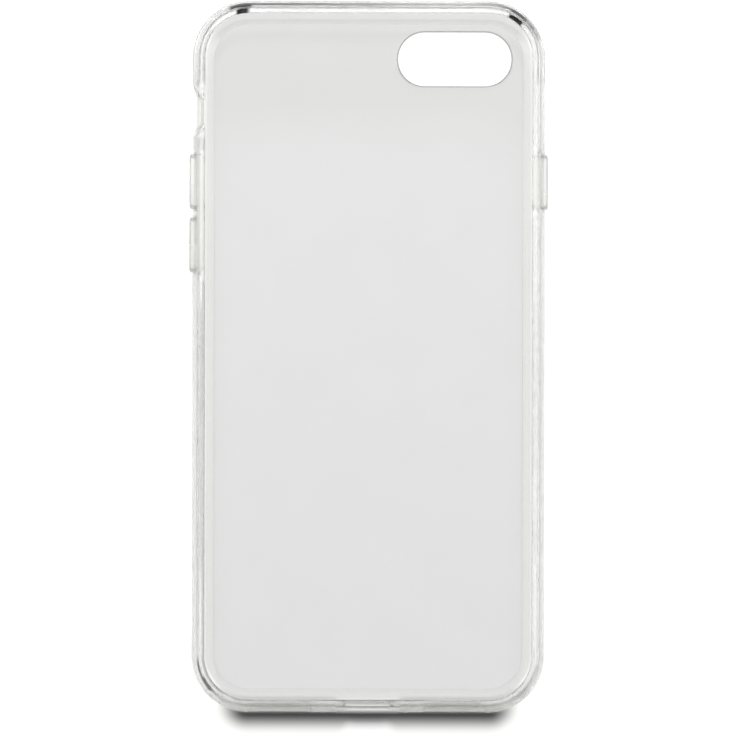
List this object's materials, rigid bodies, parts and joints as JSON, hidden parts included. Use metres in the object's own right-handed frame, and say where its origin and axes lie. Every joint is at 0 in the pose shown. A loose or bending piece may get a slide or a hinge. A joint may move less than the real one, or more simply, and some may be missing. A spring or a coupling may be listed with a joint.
{
  "type": "phone case",
  "caption": "Clear open-front phone case: hard back panel with a camera opening in a soft bumper with a raised lip, key covers, a switch hole and bottom openings.",
  "frame": {"origin": "outer face of the back panel, under the middle of the case", "axes": "the case lies on its back: +Z out of the open front, +Y to the camera end, +X to the right when looking into the open front"},
  "size_m": [0.0712, 0.1412, 0.0093],
  "materials": {
    "clear_hard_panel": "gloss, clear hard plastic",
    "clear_soft_bumper": "gloss, clear soft plastic",
    "clear_soft_key": "gloss, clear soft plastic"
  },
  "bodies": {
    "case": {"back_panel": "clear_hard_panel", "bumper_frame": "clear_soft_bumper", "volume_up_web": "clear_soft_bumper", "volume_down_web": "clear_soft_bumper", "power_web": "clear_soft_bumper"},
    "volume_up": {"volume_up_button": "clear_soft_key"},
    "volume_down": {"volume_down_button": "clear_soft_key"},
    "power": {"power_button": "clear_soft_key"}
  },
  "joints": [
    {"name": "volume_up_press", "type": "slide", "parent": "case", "child": "volume_up", "axis": [1, 0, 0], "range_m": [0, 0.0004], "stiffness_N_per_m": 1500, "deforming": ["volume_up_web"]},
    {"name": "volume_down_press", "type": "slide", "parent": "case", "child": "volume_down", "axis": [1, 0, 0], "range_m": [0, 0.0004], "stiffness_N_per_m": 1500, "deforming": ["volume_down_web"]},
    {"name": "power_press", "type": "slide", "parent": "case", "child": "power", "axis": [-1, 0, 0], "range_m": [0, 0.0004], "stiffness_N_per_m": 1500, "deforming": ["power_web"]}
  ]
}
